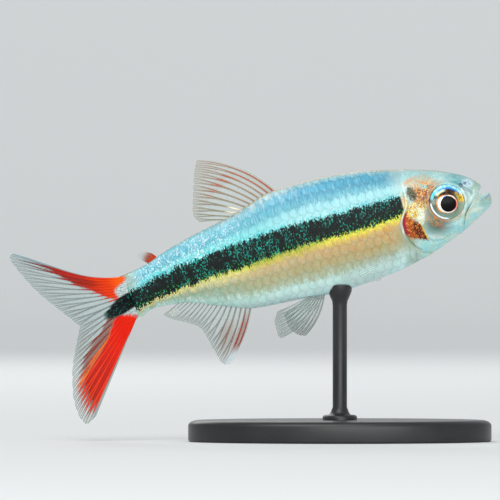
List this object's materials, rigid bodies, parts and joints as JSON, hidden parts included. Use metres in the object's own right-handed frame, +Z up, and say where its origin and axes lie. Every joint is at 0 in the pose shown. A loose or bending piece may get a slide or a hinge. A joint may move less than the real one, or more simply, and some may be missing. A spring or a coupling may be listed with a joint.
{
  "type": "black-banded red-tailed tetra on a display stand",
  "caption": "Life-size still model of a slender tropical tetra, swimming nose up above a small oval base on one rod.",
  "frame": {"origin": "on the underside of the base's level, below the middle of the whole model's box", "axes": "+Z up, +X towards the fish's nose, +Y towards the fish's left side"},
  "size_m": [0.0666, 0.024, 0.039],
  "materials": {
    "silver_skin": "glossy painted cast, silver and pale blue with a black band",
    "golden_cheek": "glossy painted cast, gold and rusty orange",
    "eye": "polished, black pupil in a silver ring",
    "clear_fin": "thin clear resin with tinted rays",
    "red_fin": "thin clear resin stained red-orange along the rays",
    "stand": "satin black"
  },
  "bodies": {
    "root": {"head": "silver_skin", "lower_jaw": "silver_skin", "trunk": "silver_skin", "tail_stem": "silver_skin", "gill_cover_left": "golden_cheek", "gill_cover_right": "golden_cheek", "eye_left": "eye", "eye_right": "eye", "dorsal_fin": "clear_fin", "anal_fin": "clear_fin", "pectoral_fin_left": "clear_fin", "pectoral_fin_right": "clear_fin", "pelvic_fin_left": "clear_fin", "pelvic_fin_right": "clear_fin", "adipose_fin": "red_fin", "tail_fin_upper": "red_fin", "tail_fin_lower": "red_fin", "stand_base": "stand", "stand_rod": "stand"}
  },
  "joints": []
}
